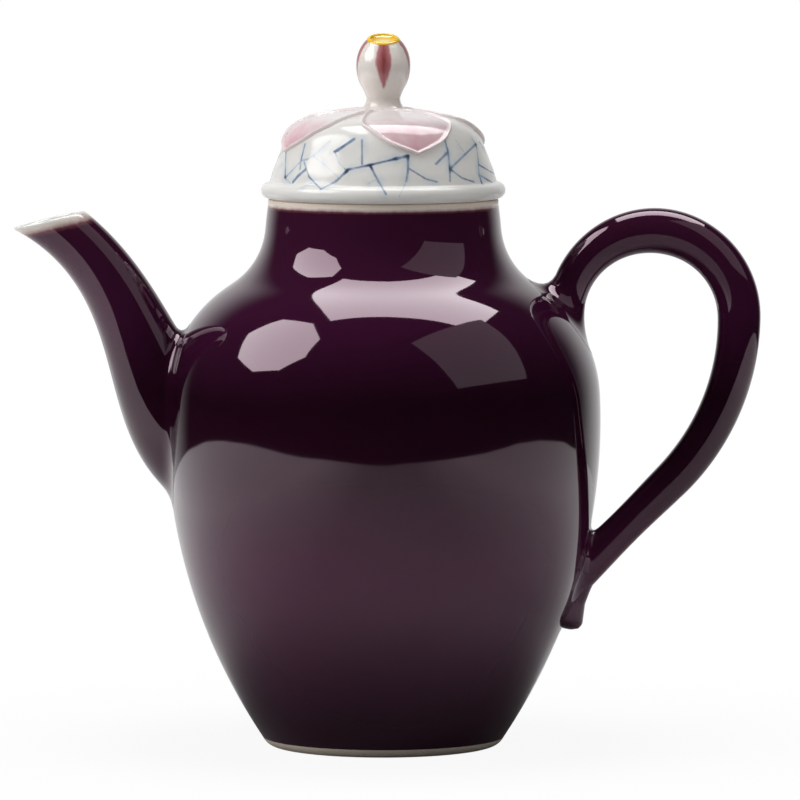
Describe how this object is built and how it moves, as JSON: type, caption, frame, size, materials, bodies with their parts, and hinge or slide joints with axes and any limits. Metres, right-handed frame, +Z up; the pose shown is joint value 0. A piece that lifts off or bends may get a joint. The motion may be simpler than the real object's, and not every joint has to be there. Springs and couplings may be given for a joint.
{
  "type": "teapot",
  "caption": "Tall glazed porcelain teapot with an ovoid belly, short neck, S-curved spout, ear handle and a domed lift-off lid with a bud knob.",
  "frame": {"origin": "centre of the foot, on the axis of the round body, at the level the pot stands on", "axes": "+Z up along the body's axis, spout along -X, handle along +X"},
  "size_m": [0.1679, 0.0976, 0.16],
  "materials": {
    "aubergine_glaze": "deep gloss, near-black aubergine purple",
    "bare_porcelain": "bare fired porcelain, fine matt",
    "clear_glaze": "white porcelain under clear gloss glaze",
    "blue_crackle": "white glaze with painted blue ice-crackle lines",
    "pink_petal": "pink wash under gloss glaze",
    "red_bud": "white glaze with painted red strokes",
    "yellow_cup": "yellow gloss glaze"
  },
  "bodies": {
    "pot": {"foot_ring": "bare_porcelain", "base_disc": "clear_glaze", "belly": "aubergine_glaze", "neck_collar": "aubergine_glaze", "mouth_rim": "bare_porcelain", "spout": "aubergine_glaze", "strainer": "clear_glaze", "handle_loop": "aubergine_glaze", "handle_tail": "aubergine_glaze"},
    "lid": {"lid_skirt": "bare_porcelain", "lid_flange": "clear_glaze", "lid_dome": "blue_crackle", "petal_front": "pink_petal", "petal_right": "pink_petal", "petal_back": "pink_petal", "petal_left": "pink_petal", "knob_bud": "red_bud", "knob_cup": "yellow_cup"}
  },
  "joints": [
    {"name": "lid_lift", "type": "slide", "parent": "pot", "child": "lid", "axis": [0, 0, 1], "range_m": [0, 0.06]}
  ]
}
